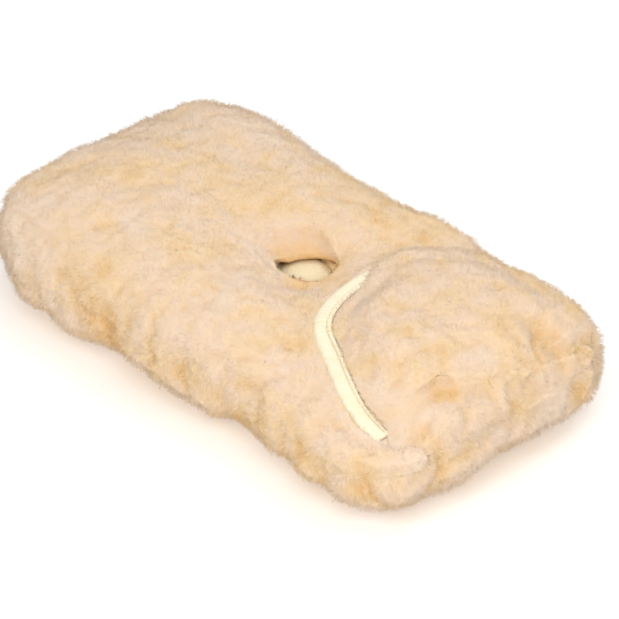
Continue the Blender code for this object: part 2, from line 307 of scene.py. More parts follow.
def fleece_base_material():
    """The mass of wool under the fibre tips, with ochre painted shade deep between the tufts."""
    material, nodes, links, shader = new_material("fleece_mass")
    fine = ramp_node(nodes, links, noise_node(nodes, links, 2.2 * MM, 5.0), ((0.3, STRAW), (0.7, PALE)))
    wool = mix_node(nodes, links, 0.3, wool_colour(nodes, links), fine)
    # depth darkens the wool to ochre: painted shade in the valleys between tufts, in the thumb hole's
    # wall and in the heel's folds
    depth = attribute_node(nodes, "depth")
    links.new(mix_node(nodes, links, depth, wool, OCHRE), shader.inputs["Base Color"])
    grain = bump_node(nodes, links, noise_node(nodes, links, 1.2 * MM, 6.0), 0.5, 0.8 * MM)
    links.new(grain, shader.inputs["Normal"])
    rough = range_node(nodes, links, noise_node(nodes, links, 3 * MM), 0.85, 1.0)
    links.new(rough, shader.inputs["Roughness"])
    soften_wool(shader)
    set_inputs(shader, Subsurface_Weight=0.35, Subsurface_Scale=4 * MM)
    return material


def fleece_fibre_material():
    """Single fibres: darker at the root, paler to the tip, and each a little different."""
    material, nodes, links, shader = new_material("fleece_fibre")
    along = ramp_node(nodes, links, attribute_node(nodes, "along"),
                      ((0.0, (0.94, 0.90, 0.84)), (0.5, (1.0, 0.99, 0.98)), (1.0, (1.0, 1.0, 1.0))))
    colour = mix_node(nodes, links, 1.0, wool_colour(nodes, links), along, "MULTIPLY")
    links.new(colour, shader.inputs["Base Color"])
    set_inputs(shader, Roughness=0.95)
    soften_wool(shader)
    return material


def knit_material(name, colour, shade, pitch):
    """Fine jersey: rows of small loops, with a little slub."""
    material, nodes, links, shader = new_material(name)
    place = nodes.new("ShaderNodeTexCoord")
    rows = []
    for direction, stretch in (("X", 1.0), ("Y", 1.6)):
        wave = nodes.new("ShaderNodeTexWave")
        wave.bands_direction = direction
        set_inputs(wave, Scale=stretch * 0.31 / pitch, Distortion=0.6, Detail=1.0, Detail_Scale=0.5)
        links.new(place.outputs["Object"], wave.inputs["Vector"])
        rows.append(wave.outputs["Fac"])
    loops = nodes.new("ShaderNodeMath")
    loops.operation = "MULTIPLY"
    links.new(rows[0], loops.inputs[0])
    links.new(rows[1], loops.inputs[1])
    weave = mix_node(nodes, links, loops.outputs[0], shade, colour)
    slub = ramp_node(nodes, links, noise_node(nodes, links, 9 * MM), ((0.3, shade), (0.6, colour)))
    links.new(mix_node(nodes, links, 0.3, weave, slub), shader.inputs["Base Color"])
    links.new(bump_node(nodes, links, loops.outputs[0], 0.6, 0.25 * MM), shader.inputs["Normal"])
    set_inputs(shader, Roughness=0.85, Specular_IOR_Level=0.2, Subsurface_Weight=0.25,
               Subsurface_Radius=(1.0, 0.7, 0.45), Subsurface_Scale=2 * MM)
    return material


def tape_material():
    """Cream woven tape: a very fine rib across it, with painted shade in its needle holes and between its
    puckers.
    """
    material, nodes, links, shader = new_material("binding_tape")
    pale, deep = (0.97, 0.89, 0.68), (0.92, 0.78, 0.52)
    patches = ramp_node(nodes, links, noise_node(nodes, links, 7 * MM), ((0.3, deep), (0.55, pale)))
    # depth paints shade into the tape: darker in the needle holes and between the puckers
    crease = attribute_node(nodes, "depth")
    colour = mix_node(nodes, links, 0.4, (0.97, 0.88, 0.67), patches)
    links.new(mix_node(nodes, links, crease, colour, (0.80, 0.66, 0.40)), shader.inputs["Base Color"])
    rib = noise_node(nodes, links, 0.5 * MM, 2.0, (1.0, 1.0, 0.3))
    links.new(bump_node(nodes, links, rib, 0.35, 0.15 * MM), shader.inputs["Normal"])
    rough = range_node(nodes, links, noise_node(nodes, links, 4 * MM), 0.55, 0.75)
    links.new(rough, shader.inputs["Roughness"])
    set_inputs(shader, Specular_IOR_Level=0.3, Sheen_Weight=0.1, Subsurface_Weight=0.2,
               Subsurface_Scale=1.5 * MM)
    return material


def thread_material(name, colour, shade):
    """Spun sewing thread: pale twist with darker plies."""
    material, nodes, links, shader = new_material(name)
    plies = noise_node(nodes, links, 0.7 * MM, 2.0)
    links.new(ramp_node(nodes, links, plies, ((0.35, shade), (0.6, colour))), shader.inputs["Base Color"])
    links.new(bump_node(nodes, links, plies, 0.4, 0.15 * MM), shader.inputs["Normal"])
    set_inputs(shader, Roughness=0.6, Specular_IOR_Level=0.35)
    return material


def elastic_material():
    material, nodes, links, shader = new_material("white_elastic")
    braid = noise_node(nodes, links, 0.8 * MM, 2.0, (1.0, 1.0, 2.0))
    colour = ramp_node(nodes, links, braid, ((0.3, (0.72, 0.70, 0.64)), (0.6, (0.88, 0.87, 0.82))))
    links.new(colour, shader.inputs["Base Color"])
    links.new(bump_node(nodes, links, braid, 0.5, 0.2 * MM), shader.inputs["Normal"])
    set_inputs(shader, Roughness=0.55)
    return material


# The pile

PUFF_CREASE = 14  # how narrow the valleys between tufts are
TUFT_SIZES = (27 * MM, 12 * MM, 5.5 * MM)
TUFT_MEAN = 0.65  # the average of puffs()
FLANK_RELIEF, FLANK_DRAWN_IN = (6.5, 3.4, 1.5), 3.8
CROWN_RELIEF, CROWN_DRAWN_IN = (2.4, 2.0, 1.3), 2.4
HOOD_POWER = 2.4  # how square the arch of the hood's edge is
HOOD_SKEW = 0.12  # how far that arch leans towards the far side
HOOD_MIDDLE = HINGE.y


def hood_outwards(points):
    """About how far each point lies outside the hood's free edge, seen from above."""
    half = (LIP_HIGH.y - LIP_LOW.y) / 2
    depth = HINGE.x - LIP_LOW.x - HOOD_SKEW * half / 2
    across = (points[:, 1] - HOOD_MIDDLE) / half
    along = np.maximum(HINGE.x - points[:, 0] - HOOD_SKEW * (points[:, 1] - HOOD_MIDDLE), 0) / depth
    size = (np.abs(across) ** HOOD_POWER + along ** HOOD_POWER) ** (1 / HOOD_POWER)
    return (size - 1) * (half + depth) / 2


def puffs(points, size, seed):
    """Rounded tufts about size metres across: near 1 on their crowns, near 0 in the valleys between."""
    scaled = points / size
    cell = np.floor(scaled).astype(np.int64)
    total = np.zeros(len(points))
    for offset in itertools.product((-1, 0, 1), repeat=3):
        there = cell + offset
        code = hashed(there, seed)
        total += np.exp(-PUFF_CREASE * ((there + three_bytes(code) / 255 - scaled) ** 2).sum(1))
    return np.clip(1 + np.log(total + 1e-9) / PUFF_CREASE, 0, 1.1)


def mottle(points):
    """Patches of straw, cream and rose, about 0.5 on average."""
    return 0.5 + 0.34 * noise(points, 34 * MM, 81) + 0.34 * noise(points, 14 * MM, 83) + \
        0.2 * noise(points, 6 * MM, 89)


def set_attribute(mesh, name, values):
    attribute = mesh.attributes.new(name, "FLOAT", "POINT")
    attribute.data.foreach_set("value", values.astype(np.float32))


def swell(mesh, outer, side):
    """Swells a pile into tufts. outer is 1 on its outside, and side is 1 on its flanks."""
    points = coordinates(mesh)
    normals = vertex_normals(mesh)
    level = np.exp(-((points[:, 2] - SEAM_HEIGHT) / (7 * MM)) ** 2)[:, None] * side[:, None]
    normals = normals * (1 - level) - inwards(points) * level
    drawn = points * np.array([1.0, 1.0, 0.8])
    bent = drawn + 4 * MM * noise_vector(points, 16 * MM, 11)
    big, middle, small = (puffs(bent, size, seed) for size, seed in zip(TUFT_SIZES, (17, 23, 29)))
    small += 0.3 * noise(points, 2.6 * MM, 37)
    tufts = np.stack([big, middle, small], 1) - TUFT_MEAN
    flank = MM * (tufts @ np.array(FLANK_RELIEF) - FLANK_DRAWN_IN)
    crown = MM * (tufts @ np.array(CROWN_RELIEF) - CROWN_DRAWN_IN)
    rise = side * flank + (1 - side) * crown
    points = points + normals * (rise * outer)[:, None]
    points[:, 2] = np.maximum(points[:, 2], 0.4 * MM)
    move(mesh, points)
    # depth is high in the valleys between the tufts, where the materials paint ochre shade
    low = side * (0.8 - big) + (0.4 + 0.5 * side) * (0.75 - middle) + 0.35 * (0.7 - small)
    set_attribute(mesh, "depth", np.clip(low * outer, 0, 0.9))
    set_attribute(mesh, "tint", mottle(points))


def level_slope(measure, points):
    """The level direction in which measure grows fastest at each point."""
    slope = np.zeros_like(points)
    for axis in (0, 1):
        step = np.eye(3)[axis] * 0.5 * MM
        slope[:, axis] = measure(points + step) - measure(points - step)
    return unit(slope)


def inwards(points):
    """The level direction from each point into the mitt."""
    return level_slope(inset, points)


def settle(points):
    """The mitt's own lie: a rounded belly, and the hollows that soft goods take on a table."""
    deep = inset(points)
    x, y, z = points.T
    edge = 1 - ease(deep, 12 * MM, 52 * MM)
    tucked = 15 * MM * (1 - np.clip(z / (27 * MM), 0, 1)) ** 1.7
    points = points + inwards(points) * (tucked * edge)[:, None]
    drop = 0.22 * (1 - ease(deep, 2 * MM, 55 * MM))
    drop += 0.16 * ease(-x, 90 * MM, 150 * MM) * ease(y, -20 * MM, 70 * MM)
    drop += 0.22 * ease(x, 90 * MM, 140 * MM) * ease(y, 20 * MM, 75 * MM)
    waist_high = 34 * MM
    x, y, z = points.T.copy()
    z = np.where(z > waist_high, waist_high + (z - waist_high) * (1 - drop), z)
    outer = np.maximum(1 - ease(deep, 9 * MM, 18 * MM), ease(z, 44 * MM, 54 * MM))
    near, far = outer * ease(-y, 20 * MM, 80 * MM), outer * ease(y, 20 * MM, 80 * MM)
    y = y + 5 * MM * near * np.exp(-((x - 48 * MM) / (32 * MM)) ** 2)
    y = y - 4 * MM * far * np.exp(-((x + 22 * MM) / (40 * MM)) ** 2)
    drawn_in = ease(-y, 22 * MM, 46 * MM) * ease(z, 46 * MM, 53 * MM)
    y = y + 4.5 * MM * drawn_in * np.exp(-((x - 76 * MM) / (22 * MM)) ** 2)
    up = ease(z, 10 * MM, 60 * MM)
    ridge = 2.5 * MM * np.exp(-((y - 52 * MM) / (17 * MM)) ** 2) * ease(-x, 20 * MM, 110 * MM)
    crease = -3.0 * MM * np.exp(-((y - 22 * MM + 0.18 * x) / (12 * MM)) ** 2) * \
        ease(-x, 30 * MM, 70 * MM) * (1 - ease(-x, 120 * MM, 150 * MM))
    z = z + (ridge + crease) * up
    return np.stack([x, y, z], 1)


def near_tape_end(points):
    """1 at the near end of the hood's tape, fading out along it and across the hood."""
    across = ease(HOOD_MIDDLE - points[:, 1], 30 * MM, 62 * MM)
    return ease(points[:, 0], 84 * MM, 126 * MM) * across


def hood_lie(points):
    """The hood's own lie: settled as the bag is, with the near end of its taped edge drawn down."""
    points = settle(points)
    points[:, 2] -= 9 * MM * near_tape_end(points)
    return points


def away_from_hood(points):
    """The level direction out from the hood's middle, square to its edge."""
    return level_slope(hood_outwards, points)


def covered(points):
    """1 along the far part of the lip, where the fluff of both panels closes over the tape."""
    return ease(points[:, 1], 3 * MM, 18 * MM)


def hood_slope(points):
    """Lowers the top panel's pile to the tape where the hood presses on it."""
    outwards = hood_outwards(points)
    z = points[:, 2]
    base = 44 * MM
    allowed = (56.5 + 2.5 * covered(points)) * MM + 11 * MM * ease(outwards, 0, 48 * MM)
    allowed -= 7 * MM * near_tape_end(points) * (1 - ease(outwards, 0, 26 * MM))
    share = np.clip((z - base) / (TOP_HIGH.z - base), 0, 1)
    points[:, 2] = np.where(z > base, base + share * (np.minimum(allowed, TOP_HIGH.z) - base), z)
    nestle = (3.0 + 3.0 * covered(points)) * MM * (1 - ease(outwards, 1 * MM, 22 * MM))
    nestle *= ease(z, 50 * MM, 53 * MM) * ease(outwards, -2 * MM, 0)
    return points - away_from_hood(points) * nestle[:, None]


def close_hole(points):
    """Lets the pile lean in over the thumb hole, most of all from its far side, and slope down to it."""
    dx, dy = points[:, 0] - HOLE.x, points[:, 1] - HOLE.y
    radius = np.maximum(np.hypot(dx, dy), 1e-6)
    near = (dx * FRONT.x + dy * FRONT.y) / radius
    left = (dx * FRONT.y - dy * FRONT.x) / radius
    wall = ease(points[:, 2], 43 * MM, 50 * MM)
    crest = ease(points[:, 2], 52 * MM, 62 * MM)
    reach = 1 - ease(radius, HOLE_RADIUS + 5 * MM, HOLE_RADIUS + 36 * MM)
    reach *= ease(hood_outwards(points), -2 * MM, 18 * MM)
    lean = 10 + 4 * left + 9 * ease(-near, -0.2, 1.0) + 1 * ease(near, 0, 1)
    lean_at_crest = 13 + 2 * ease(near, 0, 1)
    lean = lean * (1 - crest) + lean_at_crest * crest
    nearer = radius - lean * MM * wall * reach
    points[:, 0] = HOLE.x + dx * nearer / radius
    points[:, 1] = HOLE.y + dy * nearer / radius
    points[:, 2] -= (9 + 3 * near) * MM * reach * crest
    close = 1 - ease(radius, HOLE_RADIUS, HOLE_RADIUS + 24 * MM)
    points[:, 2] -= 4 * MM * ease(-near, -0.3, 0.9) * close * wall
    return points


def close_parting(points, deep, way):
    """Brings the pile of the two halves together over the side seam."""
    gap = np.clip((points[:, 2] - SEAM_HEIGHT) * way * -1, 0, 12 * MM)
    outside = 1 - ease(deep, 9 * MM, 14 * MM)
    points[:, 2] += way * outside * 3 * MM * (1 - ease(gap, 0, 12 * MM))
    return points


def stored_shade_depth(mesh):
    depth = np.empty(len(mesh.vertices), np.float32)
    mesh.attributes["depth"].data.foreach_get("value", depth)
    return depth


def deepen_painted_shade(mesh, least):
    """Raises the depth that a mesh stores, and with it the ochre painted shade of its wool."""
    depth = np.maximum(stored_shade_depth(mesh), least)
    mesh.attributes["depth"].data.foreach_set("value", depth.astype(np.float32))


def hole_shade(points):
    """How deep in the wall of the thumb hole each point lies, from 0 to 1."""
    radius = np.hypot(points[:, 0] - HOLE.x, points[:, 1] - HOLE.y)
    wall = 1 - ease(points[:, 2], 46 * MM, 53 * MM)
    return wall * (1 - ease(radius, HOLE_RADIUS, HOLE_RADIUS + 12 * MM))


def panel_pile(obj, material, node):
    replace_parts(finish_mesh(obj, material), node)
    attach(obj, "mitt")
    return obj


def make_top_pile(material):
    obj = softened("top_fleece", "top_pile", 1.6 * MM, 6)
    points = coordinates(obj.data)
    points = close_parting(points, inset(points), -1)
    move(obj.data, settle(close_hole(hood_slope(points))))
    fused(obj, 1.5 * MM, 5)
    points = coordinates(obj.data)
    deep = inset(points)
    outer = (1 - ease(deep, 15 * MM, 18 * MM)) + ease(points[:, 2], 44 * MM, 49 * MM)
    free = np.maximum(ease(hood_outwards(points), 2 * MM, 9 * MM),
                      ease(points[:, 0], HINGE.x + 2 * MM, HINGE.x + 10 * MM))
    outer = np.clip(outer, 0, 1) * free
    side = (1 - ease(points[:, 2], 44 * MM, 58 * MM)) * (1 - ease(deep, 10 * MM, 18 * MM))
    swell(obj.data, outer, side)
    deepen_painted_shade(obj.data, 0.95 * hole_shade(coordinates(obj.data)))
    return panel_pile(obj, material, "top_fleece")


def make_sole_pile(material):
    obj = softened("sole_fleece", "sole_pile", 1.6 * MM, 6)
    points = coordinates(obj.data)
    points = close_parting(points, inset(points), 1)
    under_roll = points[:, 0] > HINGE.x - 14 * MM
    squashed = 40 * MM + 0.15 * (points[:, 2] - 40 * MM)
    points[:, 2] = np.where(under_roll & (points[:, 2] > 40 * MM), squashed, points[:, 2])
    move(obj.data, settle(points))
    fused(obj, 1.5 * MM, 5)
    points = coordinates(obj.data)
    deep = inset(points)
    outer = 1 - ease(deep, 15 * MM, 18 * MM) * ease(points[:, 2], 22 * MM, 26 * MM)
    side = ease(points[:, 2], 1 * MM, 9 * MM) * (1 - ease(deep, 12 * MM, 22 * MM))
    swell(obj.data, outer * ease(points[:, 2], 0.0, 3 * MM), side)
    return panel_pile(obj, material, "sole_fleece")


def heel_roll():
    """The pile that carries the hood's fleece over the fold and down the heel, as a plain solid."""
    side = (
        (118, 57), (118, 72), (130, 72.5), (140, 68), (147, 60), (150, 48), (149.5, 34), (142, 30),
        (134, 36), (133, 50), (128, 57),
    )
    middle = (HINGE.x + 10 * MM, HINGE.z - 4 * MM)
    bm = bmesh.new()
    loops = []
    for across, size in ((-67, 0.3), (-64, 0.52), (-60, 0.68), (-55, 0.82), (-48, 0.93), (-40, 1.0),
                         (34, 1.0), (43, 0.94), (51, 0.84), (57, 0.68), (61, 0.4)):
        loops.append([
            bm.verts.new((
                middle[0] + (x * MM - middle[0]) * size,
                HOOD_MIDDLE + across * MM,
                middle[1] + (z * MM - middle[1]) * size,
            ))
            for x, z in side
        ])
    for here, there in zip(loops, loops[1:]):
        for i in range(len(side)):
            j = (i + 1) % len(side)
            bm.faces.new((here[i], here[j], there[j], there[i]))
    bm.faces.new(list(reversed(loops[0])))
    bm.faces.new(loops[-1])
    bmesh.ops.recalc_face_normals(bm, faces=bm.faces)
    return bm


def heel_folds(points):
    """How deep the folds of the heel are at each point: each is a line, a depth and a width."""
    folds = (
        ((133, -44, 60), (136, -30, 60), 7.5, 5.0),
        ((136, -30, 60), (150, -6, 58), 5.5, 5.5),
        ((133, -48, 58), (146, -60, 30), 4.5, 6.0),
        ((150, 6, 52), (150, 22, 44), 4.0, 6.0),
        ((132, 42, 62), (150, 34, 46), 2.5, 7.0),
    )
    total = np.zeros(len(points))
    for start, end, depth, width in folds:
        a, b = np.array(start) * MM, np.array(end) * MM
        share = np.clip((points - a) @ (b - a) / ((b - a) @ (b - a)), 0, 1)
        distance = np.linalg.norm(points - a - share[:, None] * (b - a), axis=1)
        total += depth * MM * np.exp(-(distance / (width * MM)) ** 2)
    return total


def creased(points):
    """Presses the folds of the heel into the hood's pile."""
    return points + into_heel(points) * heel_folds(points)[:, None]


def into_heel(points):
    """The direction from each point towards the middle of the heel."""
    inner = np.array([HINGE.x - 30 * MM, HOOD_MIDDLE, HINGE.z - 14 * MM])
    return unit(inner - points)


def make_hood_pile(material):
    bm = heel_roll()
    bm.from_mesh(frame["nodes"]["hood_fleece"].data)
    mesh = bpy.data.meshes.new("hood_pile")
    bm.to_mesh(mesh)
    bm.free()
    obj = fused(new_object("hood_pile", mesh), 1.5 * MM, 12)
    points = coordinates(obj.data)
    side = ease(points[:, 0], HINGE.x, HINGE.x + 16 * MM)
    outwards = hood_outwards(points)
    spread = ease(outwards, -24 * MM, -7 * MM) * ease(points[:, 2], 57 * MM, 61 * MM)
    spread *= 7 * covered(points) * MM * (1 - side)
    points += away_from_hood(points) * spread[:, None]
    pressed = (1 - ease(-outwards, 4 * MM, 30 * MM)) * (1 - side)
    pressed *= 1 - ease(points[:, 1], -8 * MM, 40 * MM)
    base = 57 * MM
    points[:, 2] -= 0.8 * pressed * np.maximum(points[:, 2] - base, 0)
    move(obj.data, creased(hood_lie(points)))
    fused(obj, 1.4 * MM, 3)
    points = coordinates(obj.data)
    side = ease(points[:, 0], HINGE.x - 6 * MM, HINGE.x + 10 * MM)
    at_tape = (1 - ease(-hood_outwards(points), 7 * MM, 12 * MM)) * (1 - covered(points))
    outer = np.maximum(ease(points[:, 2], 56 * MM, 59 * MM),
                       ease(points[:, 0], HINGE.x + 8 * MM, HINGE.x + 14 * MM))
    folds = heel_folds(points - 3 * MM * into_heel(points)) / (7 * MM)
    swell(obj.data, outer * (1 - 0.8 * at_tape * (1 - side)), side)
    # Painted shade: the folds of the heel are darkened to ochre
    deepen_painted_shade(obj.data, 0.8 * np.clip(folds, 0, 1) ** 2.5)
    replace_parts(finish_mesh(obj, material), "hood_fleece")
    bend(obj)
    return obj


def bend(obj):
    """Bakes a piece's placing into its mesh; the piece stays where it lies and does not turn with the
    hood.
    """
    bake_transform(obj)


# The fibres

def plant(base, name, count, look, material, seed, body):
    """Plants count fibres on a fleece mesh. look(points, normals) says how they grow there."""
    count = int(count * (1))
    rng = np.random.default_rng(seed)
    mesh = base.data
    mesh.calc_loop_triangles()
    corners = np.empty(len(mesh.loop_triangles) * 3, np.int32)
    mesh.loop_triangles.foreach_get("vertices", corners)
    corners = corners.reshape(-1, 3)
    points, normals = coordinates(mesh), vertex_normals(mesh)
    a, b, c = (points[corners[:, k]] for k in range(3))
    area = np.linalg.norm(np.cross(b - a, c - a), axis=1) / 2
    centre = (a + b + c) / 3
    facing = normals[corners].mean(1)
    share = np.cumsum(area * look(centre, facing)["density"])
    picked = np.searchsorted(share, rng.random(count) * share[-1])
    u, v = rng.random(count), rng.random(count)
    flip = u + v > 1
    u[flip], v[flip] = 1 - u[flip], 1 - v[flip]
    weights = np.stack([1 - u - v, u, v], 1)
    roots = (points[corners[picked]] * weights[:, :, None]).sum(1)
    up = unit((normals[corners[picked]] * weights[:, :, None]).sum(1))
    how = look(roots, up)
    how["depth"] = (stored_shade_depth(mesh)[corners[picked]] * weights).sum(1)
    return grow(name, roots, up, how, rng, material, body)


def grow(name, roots, up, how, rng, material, body):
    """Builds the fibres as slim three-sided spikes, curled, and gathered loosely into locks."""
    count = len(roots)
    lock_of = gathered(roots, how["lock"], rng)
    lean = how["lean"] + how["wander"][:, None] * rng.normal(0, 1, (count, 3))
    lock_way = up[lock_of] + how["lean"][lock_of]
    lock_way = unit(lock_way + 0.6 * noise_vector(roots[lock_of], 7 * MM, 51))
    sideways = unit(lean - up * (lean * up).sum(1, keepdims=True))
    length = how["length"] * rng.uniform(0.5, 1.25, count)
    rise = how["rise"] * rng.uniform(0.15, 1.0, count) ** 1.5
    lock_tip = roots[lock_of] + lock_way * how["length"][lock_of][:, None]
    own_tip = roots + sideways * length[:, None] + up * rise[:, None]
    gather = how["gather"][:, None]
    tip = own_tip * (1 - gather) + (lock_tip + rng.normal(0, 0.5 * MM, (count, 3))) * gather
    curl = rng.normal(0, 1, (count, 3)) * (0.18 * length)[:, None]
    elbow = roots + (tip - roots) * 0.45 + up * (0.35 * rise)[:, None] + curl
    root = roots - up * (0.8 * MM)
    width = how["width"] * rng.uniform(0.7, 1.3, count)
    way = unit(tip - root)
    first = unit(np.cross(way, rng.normal(0, 1, (count, 3))))
    second = np.cross(way, first)
    rings = []
    for centre, thick in ((root, 0.9), (elbow, 1.0)):
        for k in range(3):
            angle = 2 * math.pi * k / 3
            spoke = first * math.cos(angle) + second * math.sin(angle)
            rings.append(centre + spoke * (width * thick / 2)[:, None])
    rings.append(tip)
    points = np.stack(rings, 1).reshape(-1, 3)
    points[:, 2] = np.maximum(points[:, 2], 0.15 * MM)
    obj = spikes(name, points, count)
    along = np.tile(np.array([0, 0, 0, 0.5, 0.5, 0.5, 1.0]), count)
    # Fibres rooted in the pile's valleys take a lower, more ochre tint: painted shade on top of the
    # wool's own mottling
    tint = mottle(roots) - 0.7 * how["depth"] + rng.normal(0.10, 0.08, count)
    tint = np.repeat(np.clip(tint, 0, 1), 7)
    set_attribute(obj.data, "along", along)
    set_attribute(obj.data, "tint", tint)
    set_flat_map(obj.data, tint, along)
    finish_mesh(obj, material)
    shown = unit(up + FIBRE_LIGHT)
    obj.data.normals_split_custom_set_from_vertices(np.repeat(shown, 7, axis=0))
    if body is None:
        bend(obj)
    else:
        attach(obj, body)
    obj.visible_shadow = False
    obj.visible_diffuse = False
    return obj


def gathered(roots, spacing, rng):
    """For each root, the root that leads its lock."""
    cell = np.floor(roots / np.median(spacing)).astype(np.int64)
    code = hashed(cell, 71)
    order = rng.permutation(len(roots))
    _, leaders = np.unique(code[order], return_index=True)
    leaders = order[leaders]
    tree = KDTree(len(leaders))
    for i in leaders:
        tree.insert(roots[i], int(i))
    tree.balance()
    return np.array([tree.find(root)[1] for root in roots])


def spikes(name, points, count):
    """A mesh of three-sided spikes with seven points each: two rings and a tip."""
    quads = [(k, (k + 1) % 3, 3 + (k + 1) % 3, 3 + k) for k in range(3)]
    ends = [(3 + k, 3 + (k + 1) % 3, 6) for k in range(3)] + [(2, 1, 0)]
    pattern = np.array([i for face in quads + ends for i in face])
    sizes = np.array([4] * 3 + [3] * 4)
    starts = np.concatenate([[0], np.cumsum(sizes)[:-1]])
    mesh = bpy.data.meshes.new(name)
    mesh.vertices.add(len(points))
    mesh.vertices.foreach_set("co", points.astype(np.float32).ravel())
    loops = (pattern[None, :] + 7 * np.arange(count)[:, None]).ravel()
    mesh.loops.add(len(loops))
    mesh.loops.foreach_set("vertex_index", loops.astype(np.int32))
    mesh.polygons.add(7 * count)
    first = (starts[None, :] + len(pattern) * np.arange(count)[:, None]).ravel()
    mesh.polygons.foreach_set("loop_start", first.astype(np.int32))
    mesh.update(calc_edges=True)
    return new_object(name, mesh)


def set_flat_map(mesh, across, along):
    """A map for the bake in which each fibre lies where its own tint and length say."""
    layer = mesh.uv_layers.new(name="OFBake")
    corners = np.empty(len(mesh.loops), np.int32)
    mesh.loops.foreach_get("vertex_index", corners)
    places = np.stack([across[corners] * 0.96 + 0.02, along[corners] * 0.96 + 0.02], 1)
    layer.data.foreach_set("uv", places.astype(np.float32).ravel())


# Swept pieces: tapes, elastic and threads

def resampled(points, spacing):
    """Points the same distance apart along an open line."""
    lengths = np.linalg.norm(np.diff(points, axis=0), axis=1)
    along = np.concatenate([[0], np.cumsum(lengths)])
    count = max(3, int(along[-1] / spacing))
    wanted = np.linspace(0, along[-1], count)
    return np.stack([np.interp(wanted, along, points[:, k]) for k in range(3)], 1)


def frames(path, upright=(0, 0, 1)):
    """The side direction and the upward direction at each point of a path."""
    tangent = unit(np.gradient(path, axis=0))
    side = unit(np.cross(tangent, np.array(upright, float)))
    return side, np.cross(side, tangent)


def swept_mesh(name, rings, closed=False):
    """One closed solid through rings of points, an array of rings x points x 3."""
    count, corners, _ = rings.shape
    bm = bmesh.new()
    verts = [[bm.verts.new(point) for point in ring] for ring in rings.tolist()]
    for i in range(count if closed else count - 1):
        here, there = verts[i], verts[(i + 1) % count]
        for k in range(corners):
            m = (k + 1) % corners
            bm.faces.new((here[k], here[m], there[m], there[k]))
    if not closed:
        bm.faces.new(verts[0][::-1])
        bm.faces.new(verts[-1])
    bmesh.ops.recalc_face_normals(bm, faces=bm.faces)
    mesh = bpy.data.meshes.new(name)
    bm.to_mesh(mesh)
    bm.free()
    return new_object(name, mesh)


def threads(name, lines, radius, sides=6):
    """Many short lengths of thread as one mesh, each a round-ended solid along its own line."""
    faces, points, first = [], [], 0
    turns = 2 * math.pi * np.arange(sides) / sides
    for line in lines:
        way = np.abs(np.diff(line, axis=0))
        across = np.eye(3)[np.argmin(unit(way).max(0))]
        side, up = frames(line, across)
        taper = np.ones(len(line))
        taper[0] = taper[-1] = 0.45
        ring = np.cos(turns)[None, :, None] * side[:, None] + np.sin(turns)[None, :, None] * up[:, None]
        points.append((line[:, None] + ring * (radius * taper)[:, None, None]).reshape(-1, 3))
        for i in range(len(line) - 1):
            for k in range(sides):
                m = (k + 1) % sides
                a, b = first + i * sides, first + (i + 1) * sides
                faces.append((a + k, b + k, b + m, a + m))
        faces.append(tuple(first + k for k in range(sides)))
        last = first + (len(line) - 1) * sides
        faces.append(tuple(last + k for k in reversed(range(sides))))
        first += len(line) * sides
    mesh = bpy.data.meshes.new(name)
    mesh.from_pydata(np.concatenate(points).tolist(), [], faces)
    mesh.validate()
    bm = bmesh.new()
    bm.from_mesh(mesh)
    bmesh.ops.recalc_face_normals(bm, faces=bm.faces)
    bm.to_mesh(mesh)
    bm.free()
    return new_object(name, mesh)


def hood_line(drawn_in):
    """The hood's free edge, drawn in by drawn_in, from its near end round the lip to its far end."""
    half = (LIP_HIGH.y - LIP_LOW.y) / 2 - drawn_in
    depth = HINGE.x - HOOD_FRONT - drawn_in
    angle = np.linspace(-math.pi / 2, math.pi / 2, 721)
    across = np.sign(angle) * np.abs(np.sin(angle)) ** (2 / HOOD_POWER)
    along = np.abs(np.cos(angle)) ** (2 / HOOD_POWER)
    y = half * across
    x = HINGE.x - depth * along - HOOD_SKEW * y * along
    return resampled(np.stack([x, HOOD_MIDDLE + y, np.full(len(x), HINGE.z)], 1), LINE_STEP)


def mouth_line(drawn_in):
    """The U-shaped edge of the pocket's mouth, drawn in by drawn_in."""
    half, radius = MOUTH_HALF_WIDTH - drawn_in, MOUTH_RADIUS - drawn_in
    front = MOUTH_LOW.x + MOUTH_TAPE_WIDTH + drawn_in
    heel = MOUTH_HIGH.x
    turn = np.linspace(0, math.pi / 2, 40)
    near = [(front + radius - radius * math.sin(a), HOOD_MIDDLE - half + radius - radius * math.cos(a))
            for a in turn]
    far = [(x, 2 * HOOD_MIDDLE - y) for x, y in reversed(near)]
    line = [(heel, near[0][1]), *near, *far, (heel, far[-1][1])]
    height = (MOUTH_LOW.z + MOUTH_HIGH.z) / 2
    return resampled(np.array([(x, y, height) for x, y in line]), LINE_STEP)


def tape_section(width, height, wall):
    """A folded tape seen end on, as (inwards, up): soft at the fold and open on its inner side."""
    half = height / 2
    turn = np.linspace(math.pi / 2, 1.5 * math.pi, TAPE_TURN)
    belly = 0.42 * width
    outer = [(belly + belly * math.cos(a), half * math.sin(a)) for a in turn]
    inner = [(belly + (belly - wall) * math.cos(a), (half - wall) * math.sin(a)) for a in reversed(turn)]
    lip = half - 0.45 * wall
    outer = [(width, lip), (width - 0.5 * MM, half)] + outer + [(width - 0.5 * MM, -half), (width, -lip)]
    inner = [(width, wall - half)] + inner + [(width, half - wall)]
    return np.array(outer + inner)


